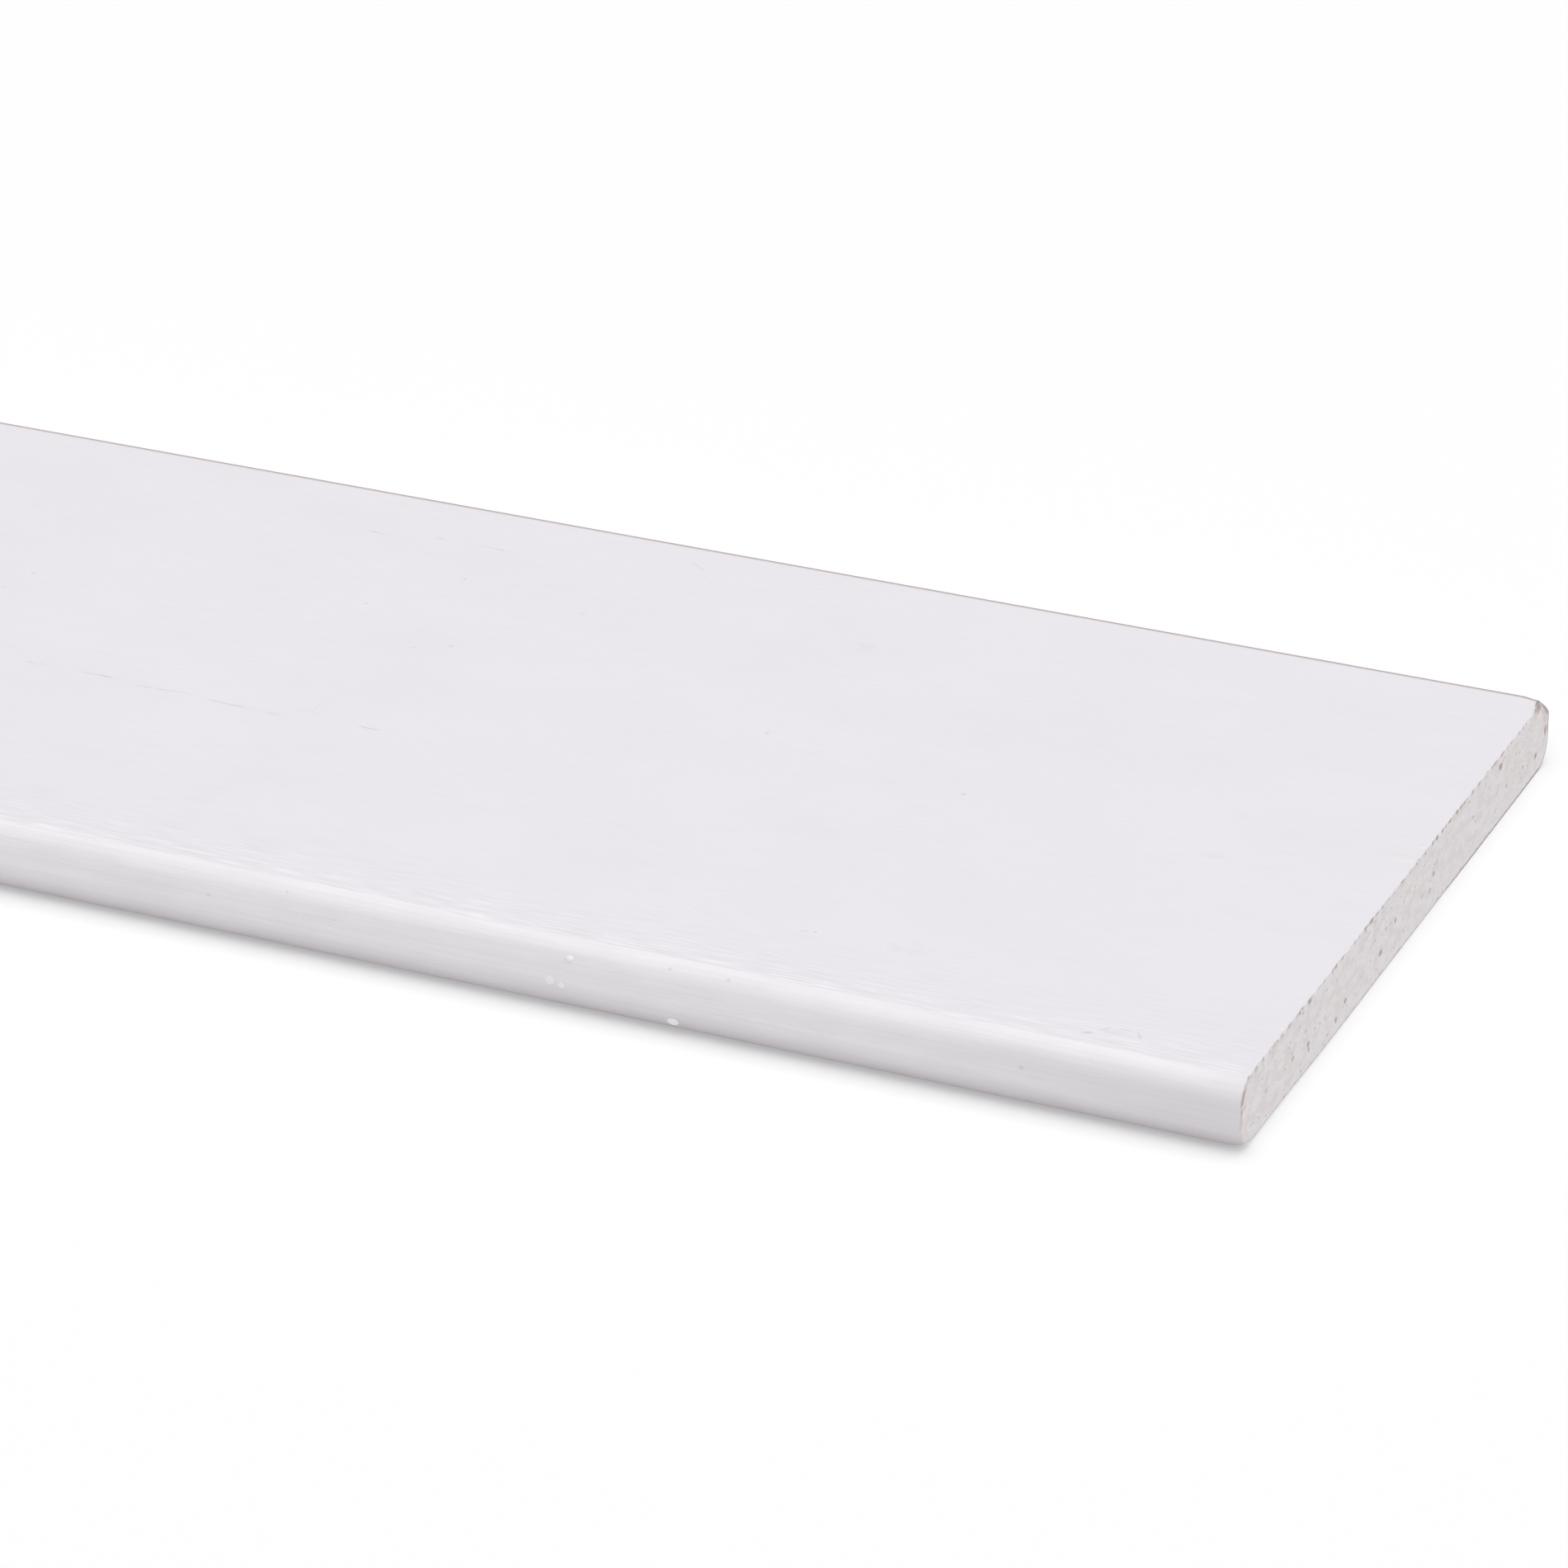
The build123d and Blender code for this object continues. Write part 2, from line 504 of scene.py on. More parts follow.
class BattenMesh:
    """Collects the points and faces of the batten as it is run off, ring by ring."""

    def __init__(self, shape):
        self.shape = shape
        # For each point, from 0 to 1: open pores and worn wood at the ends, and painted shade on the long
        # faces and along the ends' arrises
        self.points, self.bare_and_shade = [], []
        self.faces, self.coats = [], []

    def add_point(self, point, bare_and_shade=0.0):
        self.points.append(point)
        self.bare_and_shade.append(bare_and_shade)
        return len(self.points) - 1

    def add_face(self, corners, coat):
        self.faces.append(corners)
        self.coats.append(coat)

    def add_ring(self, from_end, stations, strength):
        return [
            self.add_point(place(self.shape, from_end, station, strength), painted_shade(from_end, station))
            for station in stations
        ]

    def join_rings(self, ring_a, stations_a, ring_b, stations_b):
        """Joins two rings: by quads where they have the same stations, and else by triangles."""
        if stations_a is stations_b:
            for i, station in enumerate(stations_a):
                j = (i + 1) % len(ring_a)
                self.add_face((ring_a[i], ring_a[j], ring_b[j], ring_b[i]), COAT_OF_ZONE[station.zone])
            return
        round_a = [station.zone + station.share for station in stations_a] + [len(COAT_OF_ZONE)]
        round_b = [station.zone + station.share for station in stations_b] + [len(COAT_OF_ZONE)]
        i = j = 0
        while i < len(ring_a) or j < len(ring_b):
            from_a, from_b = ring_a[i % len(ring_a)], ring_b[j % len(ring_b)]
            if j == len(ring_b) or (i < len(ring_a) and round_a[i + 1] <= round_b[j + 1]):
                coat = COAT_OF_ZONE[stations_a[i].zone]
                i += 1
                self.add_face((from_a, ring_a[i % len(ring_a)], from_b), coat)
            else:
                coat = COAT_OF_ZONE[stations_b[j].zone]
                j += 1
                self.add_face((from_a, ring_b[j % len(ring_b)], from_b), coat)

    def add_end(self, stations, ring, cells, x, inward, pores):
        """Closes the section at a sawn end with a grid, spread evenly between the four zones of its
        rim and drawn in at its pores."""
        shape = self.shape
        saw_marks, rim_slope = 0.5 * MM, 0.25 * MM
        wide, high = cells.face, cells.near
        back, near, face, far = (
            [(self.points[n].y, self.points[n].z, n) for s, n in zip(stations, ring) if s.zone == zone]
            for zone in (BACK, NEAR_EDGE, FACE, FAR_EDGE)
        )
        bottom = (back + near[:1])[::-1]
        left = near + face[:1]
        top = face + far[:1]
        right = (far + back[:1])[::-1]
        grid = {}
        for i in range(wide + 1):
            grid[i, 0], grid[i, high] = bottom[i][2], top[i][2]
        for j in range(high + 1):
            grid[0, j], grid[wide, j] = left[j][2], right[j][2]
        for i in range(1, wide):
            u = i / wide
            for j in range(1, high):
                v = j / high
                across, up = (
                    (1 - v) * bottom[i][k] + v * top[i][k] + (1 - u) * left[j][k] + u * right[j][k]
                    - (1 - u) * (1 - v) * bottom[0][k] - u * (1 - v) * bottom[wide][k]
                    - (1 - u) * v * top[0][k] - u * v * top[wide][k]
                    for k in (0, 1)
                )
                pore = pores.depth(across, up)
                fuzz = shape.saw_fuzz * (1 + wave((across, saw_marks), (up, saw_marks)))
                step_in = END_STEP * (1 - fade(inside(shape, across, up), 0.0, rim_slope))
                # Open pores and worn patches, and painted lines of shade along the arrises
                bare_and_shade = max(pore, self.rubbed_arris_and_shade_line(across, up))
                worn = worn_back(shape, SHOWN_END - x, across, up)
                depth = fuzz + step_in + worn + shape.pore_depth * pore
                grid[i, j] = self.add_point(Vector((x + inward * depth, across, up)), bare_and_shade)
        for index, station in zip(ring, stations):
            torn = pores.depth(station.across, station.up)
            self.points[index].x += inward * shape.pore_depth * torn / 2
            self.bare_and_shade[index] = max(self.bare_and_shade[index], torn, self.rubbed_arris_and_shade_line(station.across, station.up))
        for i in range(wide):
            for j in range(high):
                corners = (grid[i, j], grid[i + 1, j], grid[i + 1, j + 1], grid[i, j + 1])
                self.add_face(corners if inward < 0 else corners[::-1], END_GRAIN)

    def rubbed_arris_and_shade_line(self, across, up):
        """Worn wood along the end's arrises, from 0 to 1, in patches at the two sides, and a thin dark line
        of painted shade along the lower side and up the far one."""
        from_rim = inside(self.shape, across, up)
        from_near, from_far = HALF_WIDTH + across, HALF_WIDTH - across
        near = fade(from_near, 0.8 * MM, 1.6 * MM) * fade(up, THICKNESS - 0.9 * MM, THICKNESS)
        near *= 1 - 0.5 * fade(up, 2.4 * MM, 3.6 * MM)
        far = fade(from_far, 0.6 * MM, 1.4 * MM) * (1 - fade(up, 2.4 * MM, 4.6 * MM))
        patches = max(near, far) * fade(from_rim, 0.3 * MM, 0.9 * MM)
        patches *= 0.7 + 0.4 * wave((up, 0.5 * MM), (across, 1.0))
        # Painted shade: a thin dark line along the lower arris and up the far one
        shade_line_below = fade(up, 0.4 * MM, 1.2 * MM) * (1 - fade(from_near, 1.5 * MM, 3.0 * MM))
        shade_line_far_side = fade(from_far, 0.8 * MM, 1.6 * MM)
        line = fade(from_rim, 0.02 * MM, 0.2 * MM) * max(shade_line_below, shade_line_far_side)
        return min(1.0, max(patches, line))


def batten_mesh(shape):
    """The whole batten as one closed mesh."""
    made = BattenMesh(shape)
    stations = section_stations(shape, SHOWN_CELLS)
    close_stations = section_stations(shape, CLOSE_CELLS)
    wide_stations = section_stations(shape, WIDE_CELLS)
    ring = made.add_ring(0.0, stations, 1.0)
    pores = OpenPores(shape, SHOWN_END_SEED, END_PORES)
    made.add_end(stations, ring, SHOWN_CELLS, SHOWN_END, -1, pores)
    for from_end in row_places(shape):
        close = from_end < shape.shown_stretch
        next_stations = close_stations if close else wide_stations
        next_ring = made.add_ring(from_end, next_stations, 1.0 if close else FAR_RELIEF)
        made.join_rings(ring, stations, next_ring, next_stations)
        ring, stations = next_ring, next_stations
    last_stations = section_stations(shape, OTHER_CELLS)
    last_ring = made.add_ring(LENGTH, last_stations, FAR_RELIEF)
    made.join_rings(ring, stations, last_ring, last_stations)
    pores = OpenPores(shape, OTHER_END_SEED)
    made.add_end(last_stations, last_ring, OTHER_CELLS, SHOWN_END - LENGTH, 1, pores)
    return made


def add(tree, kind, sockets=None, **settings):
    """Adds a shader node with its settings. Each socket named gets a value, or a link from a socket
    or from the first output of a node."""
    made = tree.nodes.new(kind)
    for name, value in settings.items():
        setattr(made, name, value)
    for name, value in (sockets or {}).items():
        if isinstance(value, bpy.types.Node):
            value = next(output for output in value.outputs if output.enabled)
        if isinstance(value, bpy.types.NodeSocket):
            tree.links.new(value, made.inputs[name])
        else:
            made.inputs[name].default_value = value
    return made


# A mix node's sockets for its share and its two colours
SHARE, UNDER, OVER = 0, 6, 7


def new_material(name):
    """An empty material and its node tree."""
    material = bpy.data.materials.new(name)
    material.use_nodes = True
    material.node_tree.nodes.clear()
    return material, material.node_tree


def waves_of(*sizes_mm):
    """How a pattern is scaled along, across and up, so that one wave of it has these sizes."""
    return tuple(1 / (size * MM) for size in sizes_mm)


def opaque(colour):
    return (*colour, 1.0)


# The widths of a hairline and a pinhole, in millimetres
HAIR = 0.2
PINHOLE = 0.5
# Marks on the shown stretch of the face, in millimetres: from the end, across, length, width,
# lean in degrees, darkness
FACE_MARKS = (
    (113.8, -8.2, 5.6, HAIR, 0, 0.45),
    (108.6, -8.2, 5.6, HAIR, 0, 0.55),
    (102.5, -8.5, 7.6, HAIR, 4, 0.45),
    (96.3, -8.75, 5.8, HAIR, 0, 0.5),
    (93.4, -8.9, 7.0, 1.0, 0, 0.12),
    (89.5, -6.2, 2.0, 0.3, 90, 0.22),
    (83.3, -8.2, 4.6, HAIR, 0, 0.55),
    (74.5, -16.5, 4.6, HAIR, 0, 0.3),
    (100.5, 25.5, 3.8, HAIR, -6, 0.5),
    (95.6, 26.6, 1.8, HAIR, 0, 0.4),
    (89.9, 26.5, 5.4, HAIR, -4, 0.35),
    (73.2, 30.2, 3.4, 0.3, -30, 0.3),
    (71.6, 28.4, 1.4, 0.3, 0, 0.25),
    (84.9, 7.9, PINHOLE, PINHOLE, 0, 0.55),
    (95.1, 12.5, PINHOLE, PINHOLE, 0, 0.6),
    (87.6, 6.4, PINHOLE, PINHOLE, 0, 0.4),
    (89.8, 20.1, PINHOLE, PINHOLE, 0, 0.35),
    (123.6, 6.9, PINHOLE, PINHOLE, 0, 0.4),
    (124.5, 3.5, PINHOLE, PINHOLE, 0, 0.3),
    (54.5, 3.5, PINHOLE, PINHOLE, 0, 0.4),
    (36.0, -0.3, PINHOLE, PINHOLE, 0, 0.3),
    (44.0, 0.2, PINHOLE, PINHOLE, 0, 0.3),
    (77.7, 17.9, PINHOLE, PINHOLE, 0, 0.2),
    (38.1, -25.9, 0.9, 0.4, 15, 0.45),
    (37.2, -25.7, 0.5, 0.3, -20, 0.3),
    (36.6, -26.3, 0.3, 0.3, 0, 0.2),
    (54.0, 21.2, 3.4, 1.8, 0, 0.07),
    (29.9, -25.4, 3.8, 2.6, 0, 0.07),
    (28.2, -24.9, 1.4, 0.8, 30, 0.07),
    (14.8, -2.3, 3.4, 1.6, 0, 0.08),
    (10.8, -31.3, 3.4, 1.5, 8, 0.1),
    (12.9, -32.0, 1.1, 0.4, 15, 0.4),
    (11.9, -31.0, 1.4, 0.25, 40, 0.35),
    (9.3, -31.0, 1.3, 0.25, -55, 0.35),
    (10.4, -30.6, 1.5, 0.2, 0, 0.25),
)

# Pinholes in the coat of the near edge, in millimetres: from the end, share of the edge, width,
# darkness
EDGE_PINHOLES = (
    (83.7, 0.65, 0.40, 0.45),
    (85.1, 0.66, 0.30, 0.3),
    (81.4, 0.41, 0.30, 0.25),
    (77.1, 0.85, 0.35, 0.3),
    (76.1, 0.65, 0.35, 0.4),
    (72.9, 0.66, 0.36, 0.5),
    (67.9, 0.61, 0.35, 0.3),
    (45.1, 0.87, 0.40, 0.3),
    (40.4, 0.88, 0.40, 0.3),
    (16.9, 0.62, 0.55, 0.35),
    (54.2, 0.45, 0.30, 0.5),
)


def face_marks():
    """The face's marks as places, leans, half sizes and darknesses in the batten's own metres."""
    for from_end, across, length, width, lean, darkness in FACE_MARKS:
        at = (SHOWN_END - from_end * MM, across * MM, THICKNESS)
        yield at, math.radians(lean), (length * MM / 2, width * MM / 2, width * MM), darkness


def edge_pinholes(shape):
    """The near edge's pinholes as places, leans, half sizes and darknesses."""
    for from_end, share, width, darkness in EDGE_PINHOLES:
        inset, up, _, _ = edge_point(shape, share)
        at = (SHOWN_END - from_end * MM, inset - HALF_WIDTH, up)
        yield at, 0.0, (width * MM / 2,) * 3, darkness


def draw_marks(tree, coordinates, marks):
    """A pattern that is dark at each mark and fades out at its rim. Returns its last node."""
    drawn = 0.0
    for at, lean, half_sizes, darkness in marks:
        local = add(
            tree,
            "ShaderNodeMapping",
            {"Vector": coordinates, "Location": at, "Rotation": (0.0, 0.0, lean), "Scale": half_sizes},
            vector_type="TEXTURE",
        )
        centred = add(tree, "ShaderNodeTexGradient", {"Vector": local}, gradient_type="SPHERICAL")
        mark = add(tree, "ShaderNodeMapRange", {"Value": centred, "From Max": 0.6, "To Max": darkness})
        drawn = add(tree, "ShaderNodeMath", {0: mark, 1: drawn}, operation="MAXIMUM")
    return drawn


def sprayed_primer_on_planed_hardwood(finish):
    """Acrylic primer, sprayed thin on a planed face: matt, with the grain showing through as fine
    dull dashes along it, stronger towards the near edge, where it has also gathered in fine white
    streaks. It has hairlines and pinholes where it has cracked or not taken."""
    material, tree = new_material("sprayed_primer_on_planed_hardwood")
    coordinates = add(tree, "ShaderNodeTexCoord").outputs["Object"]
    # The vessels of the wood show as dashes about 4 mm long and 0.2 mm wide
    grain = add(tree, "ShaderNodeMapping", {"Vector": coordinates, "Scale": waves_of(4, 0.2, 1)})
    vessels = add(tree, "ShaderNodeTexNoise", {"Vector": grain, "Scale": 1.0, "Detail": 2.0})
    # The wood drinks the primer unevenly, in clouds about 14 mm long and 8 mm wide
    cloudy = add(tree, "ShaderNodeMapping", {"Vector": coordinates, "Scale": waves_of(14, 8, 8)})
    clouds = add(tree, "ShaderNodeTexNoise", {"Vector": cloudy, "Scale": 1.0, "Detail": 3.0})
    drunk_in = add(
        tree, "ShaderNodeMapRange", {"Value": clouds, "From Min": 0.4, "From Max": 0.8, "To Max": 0.17}
    )
    # The dashes are strong for 12 mm beside the near edge. For 7 mm there the coat is crazed as
    # well: it gathered in white streaks between the vessels
    across = add(tree, "ShaderNodeSeparateXYZ", {"Vector": coordinates}).outputs["Y"]
    rough_side, crazed_side = (
        add(
            tree,
            "ShaderNodeMapRange",
            {
                "Value": across,
                "From Min": -HALF_WIDTH,
                "From Max": reach * MM - HALF_WIDTH,
                "To Min": beside_edge,
                "To Max": beyond,
            },
            interpolation_type="SMOOTHSTEP",
        )
        for reach, beside_edge, beyond in ((12, 0.7, 0.2), (7, 1.0, 0.0))
    )
    dashes = add(tree, "ShaderNodeMapRange", {"Value": vessels, "From Min": 0.45, "From Max": 0.75})
    dashes = add(tree, "ShaderNodeMath", {0: dashes, 1: rough_side}, operation="MULTIPLY")
    crests = add(tree, "ShaderNodeMapRange", {"Value": vessels, "From Min": 0.46, "From Max": 0.34})
    crests = add(tree, "ShaderNodeMath", {0: crests, 1: crazed_side}, operation="MULTIPLY")
    # The hairlines wander within 0.3 mm, and come and go as well, every millimetre or so
    swing = 0.3 * MM
    wander = add(
        tree, "ShaderNodeTexNoise", {"Vector": coordinates, "Scale": 1 / (1.3 * MM), "Detail": 1.0}
    )
    shifted = add(
        tree,
        "ShaderNodeVectorMath",
        {0: wander.outputs["Color"], 1: (swing,) * 3, 2: coordinates},
        operation="MULTIPLY_ADD",
    )
    wandering = add(tree, "ShaderNodeVectorMath", {0: shifted, 1: (-swing / 2,) * 3}, operation="ADD")
    broken = add(
        tree, "ShaderNodeMapRange", {"Value": wander, "From Min": 0.38, "From Max": 0.58, "To Min": 0.2}
    )
    marks = draw_marks(tree, wandering, face_marks())
    marks = add(tree, "ShaderNodeMath", {0: marks, 1: broken}, operation="MULTIPLY")
    # Painted shade: a dark line along the far edge of the face, in the pore colour, with the torn places at
    # the shown end's arris
    bare_and_shade = add(tree, "ShaderNodeAttribute", attribute_name="bare_wood_and_shade").outputs["Fac"]
    colour = opaque(finish.primer)
    for share, over in (
        (dashes, finish.primer_thin),
        (drunk_in, finish.primer_thin),
        (crests, finish.primer_crest),
        (marks, finish.mark),
        (bare_and_shade, finish.pore),
    ):
        layer = {SHARE: share, UNDER: colour, OVER: opaque(over)}
        colour = add(tree, "ShaderNodeMix", layer, data_type="RGBA")
    height = add(tree, "ShaderNodeMath", {0: marks, 1: -1.5, 2: vessels}, operation="MULTIPLY_ADD")
    bump = add(tree, "ShaderNodeBump", {"Height": height, "Strength": 0.4, "Distance": 0.02 * MM})
    looks = {"Base Color": colour, "Normal": bump, "Roughness": 0.62, "IOR": 1.47}
    shader = add(tree, "ShaderNodeBsdfPrincipled", looks)
    add(tree, "ShaderNodeOutputMaterial", {"Surface": shader})
    return material


def flooded_primer_on_moulded_edge(shape, finish):
    """The same primer where it has flooded round the moulded edge: fuller and half glossy, drawn
    into fine lines along the edge, so that it takes a soft blotchy bright band. Painted shade turns it
    grey round the back arrises, along the far line and down the near side towards the shown end, and
    it is rubbed grey in patches at the shown end's arris."""
    material, tree = new_material("flooded_primer_on_moulded_edge")
    coordinates = add(tree, "ShaderNodeTexCoord").outputs["Object"]
    # The moulder's cutters leave lines about 12 mm long and 0.2 mm apart
    lengthwise = add(tree, "ShaderNodeMapping", {"Vector": coordinates, "Scale": waves_of(12, 0.2, 0.2)})
    lines = add(tree, "ShaderNodeTexNoise", {"Vector": lengthwise, "Scale": 1.0, "Detail": 2.0})
    dull = add(
        tree, "ShaderNodeMapRange", {"Value": lines, "From Min": 0.45, "From Max": 0.75, "To Max": 0.4}
    )
    # The wet coat gathered in blotches about 4 mm long and 1.5 mm wide
    blotchy = add(tree, "ShaderNodeMapping", {"Vector": coordinates, "Scale": waves_of(4, 1.5, 1.5)})
    blotches = add(tree, "ShaderNodeTexNoise", {"Vector": blotchy, "Scale": 1.0, "Detail": 2.0})
    patchy = add(
        tree, "ShaderNodeMapRange", {"Value": blotches, "From Min": 0.4, "From Max": 0.7, "To Max": 0.2}
    )
    gloss = add(
        tree,
        "ShaderNodeMapRange",
        {"Value": blotches, "From Min": 0.3, "From Max": 0.7, "To Min": 0.38, "To Max": 0.5},
    )
    pinholes = draw_marks(tree, coordinates, edge_pinholes(shape))
    # Painted shade round the back arrises, along the far line and on the near side, and rubbed patches at
    # the shown end's arris
    bare_and_shade = add(tree, "ShaderNodeAttribute", attribute_name="bare_wood_and_shade").outputs["Fac"]
    rubbed_and_shade = add(tree, "ShaderNodeMath", {0: bare_and_shade, 1: 0.8}, operation="MULTIPLY")
    colour = opaque(finish.edge_primer)
    for share, over in (
        (dull, finish.primer_thin),
        (patchy, finish.primer_thin),
        (pinholes, finish.mark),
        (rubbed_and_shade, finish.rubbed_and_shade),
    ):
        layer = {SHARE: share, UNDER: colour, OVER: opaque(over)}
        colour = add(tree, "ShaderNodeMix", layer, data_type="RGBA")
    height = add(tree, "ShaderNodeMath", {0: blotches, 1: 2.0, 2: lines}, operation="MULTIPLY_ADD")
    bump = add(tree, "ShaderNodeBump", {"Height": height, "Strength": 0.5, "Distance": 0.03 * MM})
    looks = {"Base Color": colour, "Normal": bump, "Roughness": gloss, "IOR": 1.5}
    shader = add(tree, "ShaderNodeBsdfPrincipled", looks)
    add(tree, "ShaderNodeOutputMaterial", {"Surface": shader})
    return material


def thin_primer_on_back(finish):
    """One mist coat on the planed back, which nobody sees once the batten is up: flat, with more
    of the wood's warmth in it than the face has."""
    material, tree = new_material("thin_primer_on_back")
    coordinates = add(tree, "ShaderNodeTexCoord").outputs["Object"]
    # Vessels about 6 mm long and 0.3 mm wide, under clouds of 60 by 9 mm
    grain = add(tree, "ShaderNodeMapping", {"Vector": coordinates, "Scale": waves_of(6, 0.3, 1)})
    vessels = add(tree, "ShaderNodeTexNoise", {"Vector": grain, "Scale": 1.0, "Detail": 2.0})
    cloudy = add(tree, "ShaderNodeMapping", {"Vector": coordinates, "Scale": waves_of(60, 9, 9)})
    clouds = add(tree, "ShaderNodeTexNoise", {"Vector": cloudy, "Scale": 1.0, "Detail": 3.0})
    dashes = add(tree, "ShaderNodeMapRange", {"Value": vessels, "From Min": 0.5, "From Max": 0.75})
    drunk_in = add(
        tree, "ShaderNodeMapRange", {"Value": clouds, "From Min": 0.45, "From Max": 0.75, "To Max": 0.6}
    )
    colour = opaque(finish.primer_thin)
    for share, over in ((dashes, finish.end_grain_bare), (drunk_in, finish.end_grain)):
        layer = {SHARE: share, UNDER: colour, OVER: opaque(over)}
        colour = add(tree, "ShaderNodeMix", layer, data_type="RGBA")
    bump = add(tree, "ShaderNodeBump", {"Height": vessels, "Strength": 0.5, "Distance": 0.03 * MM})
    looks = {"Base Color": colour, "Normal": bump, "Roughness": 0.75, "IOR": 1.47}
    shader = add(tree, "ShaderNodeBsdfPrincipled", looks)
    add(tree, "ShaderNodeOutputMaterial", {"Surface": shader})
    return material


def misted_end_grain(finish):
    """Hardwood end grain from a fine saw under a mist of primer: a warm, dull, mottled grey-white,
    whiter where the primer has wrapped round from the back, with open pores that stay brown, and
    thin brown lines of painted shade along its lower and far arrises."""
    material, tree = new_material("misted_end_grain")
    coordinates = add(tree, "ShaderNodeTexCoord").outputs["Object"]
    # Patches of about 1.2 mm drank more or less. The wood's small cells are drawn at 0.25 mm, where
    # real ones are a tenth of that, so that they show. Both are drawn out across the batten
    drawn_out = add(tree, "ShaderNodeMapping", {"Vector": coordinates, "Scale": (1.0, 0.7, 1.4)})
    mottle = add(
        tree, "ShaderNodeTexNoise", {"Vector": drawn_out, "Scale": 1 / (1.2 * MM), "Detail": 3.0}
    )
    drunk_in = add(
        tree, "ShaderNodeMapRange", {"Value": mottle, "From Min": 0.4, "From Max": 0.65, "To Max": 0.6}
    )
    cells = add(
        tree, "ShaderNodeTexNoise", {"Vector": drawn_out, "Scale": 1 / (0.25 * MM), "Detail": 2.0}
    )
    speckled = add(
        tree, "ShaderNodeMapRange", {"Value": cells, "From Min": 0.5, "From Max": 0.75, "To Max": 0.8}
    )
    height = add(tree, "ShaderNodeSeparateXYZ", {"Vector": coordinates}).outputs["Z"]
    wrapped = add(
        tree,
        "ShaderNodeMapRange",
        {"Value": height, "From Min": 0.2 * MM, "From Max": 1.3 * MM, "To Min": 0.7, "To Max": 0.0},
        interpolation_type="SMOOTHSTEP",
    )
    # Open pores and worn patches, and thin lines of painted shade along the lower and far arrises
    bare_and_shade = add(tree, "ShaderNodeAttribute", attribute_name="bare_wood_and_shade").outputs["Fac"]
    opened = add(
        tree,
        "ShaderNodeMapRange",
        {"Value": bare_and_shade, "From Min": 0.1, "From Max": 0.9},
        interpolation_type="SMOOTHSTEP",
    )
    colour = opaque(finish.end_grain)
    for share, over in (
        (drunk_in, finish.end_grain_bare),
        (speckled, finish.end_grain_bare),
        (wrapped, finish.primer),
        (opened, finish.pore),
    ):
        layer = {SHARE: share, UNDER: colour, OVER: opaque(over)}
        colour = add(tree, "ShaderNodeMix", layer, data_type="RGBA")
    bump = add(tree, "ShaderNodeBump", {"Height": cells, "Strength": 0.4, "Distance": 0.04 * MM})
    looks = {"Base Color": colour, "Normal": bump, "Roughness": 0.85, "IOR": 1.45}
    shader = add(tree, "ShaderNodeBsdfPrincipled", looks)
    add(tree, "ShaderNodeOutputMaterial", {"Surface": shader})
    return material


def dried_primer_lump(finish):
    """A lump of primer that dried thick: whiter and smoother than the coat round it, because no
    wood shows through, with a skin that has crept into dimples."""
    material, tree = new_material("dried_primer_lump")
    coordinates = add(tree, "ShaderNodeTexCoord").outputs["Object"]
    # Dimples about 0.25 mm apart
    dimples = add(
        tree, "ShaderNodeTexNoise", {"Vector": coordinates, "Scale": 1 / (0.25 * MM), "Detail": 1.0}
    )
    thin = add(
        tree, "ShaderNodeMapRange", {"Value": dimples, "From Min": 0.5, "From Max": 0.8, "To Max": 0.5}
    )
    layer = {SHARE: thin, UNDER: opaque(finish.lump), OVER: opaque(finish.edge_primer)}
    colour = add(tree, "ShaderNodeMix", layer, data_type="RGBA")
    bump = add(tree, "ShaderNodeBump", {"Height": dimples, "Strength": 0.4, "Distance": 0.03 * MM})
    looks = {"Base Color": colour, "Normal": bump, "Roughness": 0.4, "IOR": 1.5}
    shader = add(tree, "ShaderNodeBsdfPrincipled", looks)
    add(tree, "ShaderNodeOutputMaterial", {"Surface": shader})
    return material


def link_piece(name, mesh):
    """A piece of the batten that rides on its body and stands in for its solid, which it hides."""
    piece = bpy.data.objects.new(name, mesh)
    bpy.context.scene.collection.objects.link(piece)
    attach(piece, BODY)
    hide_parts(NODE)
    return piece


# Corners that turn by more than this are drawn sharp. The face line, at 18 degrees, is one
SHARP_ANGLE = math.radians(14)


class BATTEN_OT_planed_stock(Operator):
    """Runs off the batten: its rounded section, its relief and its two sawn ends"""

    bl_idname = "batten.planed_stock"
    bl_label = "Planed stock"

    def execute(self, context):
        shape, finish = context.scene.batten_shape, context.scene.batten_finish
        made = batten_mesh(shape)
        mesh = bpy.data.meshes.new("planed_stock")
        mesh.from_pydata(made.points, [], made.faces)
        for material in (
            sprayed_primer_on_planed_hardwood(finish),
            flooded_primer_on_moulded_edge(shape, finish),
            thin_primer_on_back(finish),
            misted_end_grain(finish),
        ):
            mesh.materials.append(material)
        mesh.polygons.foreach_set("material_index", made.coats)
        # Open pores and worn wood at the ends, and painted shade on the long faces and along the ends'
        # arrises
        bare_and_shade = mesh.attributes.new("bare_wood_and_shade", "FLOAT", "POINT")
        bare_and_shade.data.foreach_set("value", made.bare_and_shade)
        mesh.shade_smooth()
        mesh.set_sharp_from_angle(angle=SHARP_ANGLE)
        mesh.update()
        link_piece("planed_stock", mesh)
        return {"FINISHED"}


# Lumps of dried primer on the near edge, in millimetres: from the end, share of the edge, length,
# width, height
EDGE_NIBS = (
    (54.9, 0.50, 0.90, 0.75, 0.11),
    (53.9, 0.47, 0.60, 0.50, 0.08),
    (53.2, 0.77, 0.70, 0.45, 0.12),
    (44.8, 0.31, 1.00, 0.70, 0.18),
)

